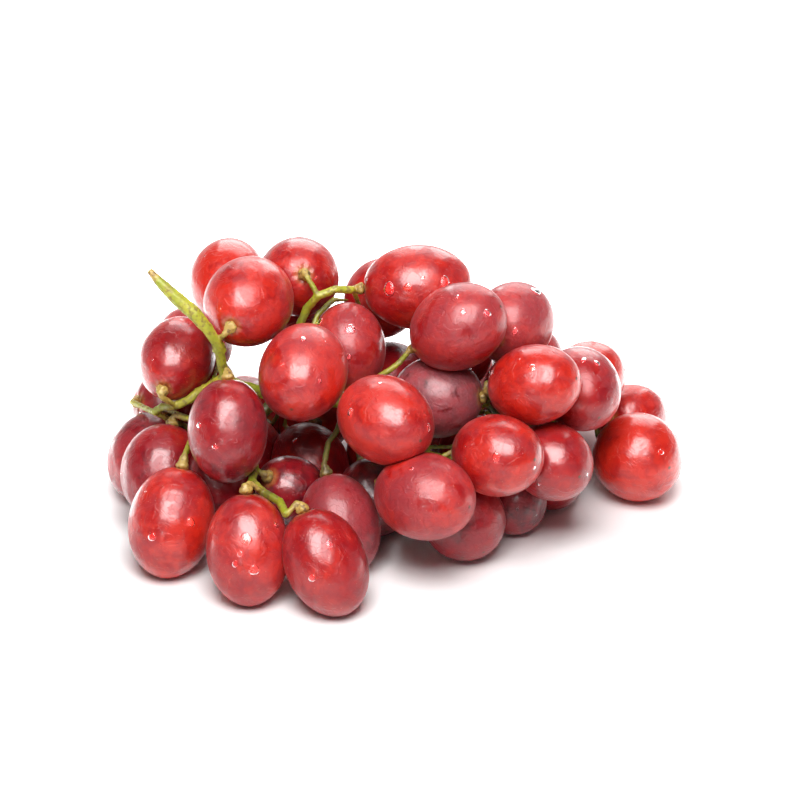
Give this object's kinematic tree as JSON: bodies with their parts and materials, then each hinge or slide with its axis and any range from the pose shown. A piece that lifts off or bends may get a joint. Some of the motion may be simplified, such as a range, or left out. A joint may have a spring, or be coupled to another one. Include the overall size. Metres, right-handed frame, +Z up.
{
  "type": "bunch of grapes",
  "caption": "Bunch of oval red table grapes on a green branched stem, lying on its side with the cut stalk up at one end.",
  "frame": {"origin": "under the middle of the bunch, on the surface that it lies on", "axes": "+X along the bunch from its cut stem end to its tip, +Y towards its back, +Z up"},
  "size_m": [0.15, 0.1162, 0.0696],
  "materials": {
    "grape_skin": "smooth wet grape skin, crimson to orange-red, with a thin pale bloom",
    "stem_green": "matte yellow-green woody stem, browner at its forks and cut end"
  },
  "bodies": {
    "root": {"grapes_left_shoulder": "grape_skin", "grapes_left_side": "grape_skin", "grapes_front_left": "grape_skin", "grapes_front": "grape_skin", "grapes_centre": "grape_skin", "grapes_crown": "grape_skin", "grapes_middle": "grape_skin", "grapes_right": "grape_skin", "grapes_tip": "grape_skin", "grapes_back_left": "grape_skin", "grapes_back_middle": "grape_skin", "grapes_back_right": "grape_skin", "stem": "stem_green"}
  },
  "joints": []
}
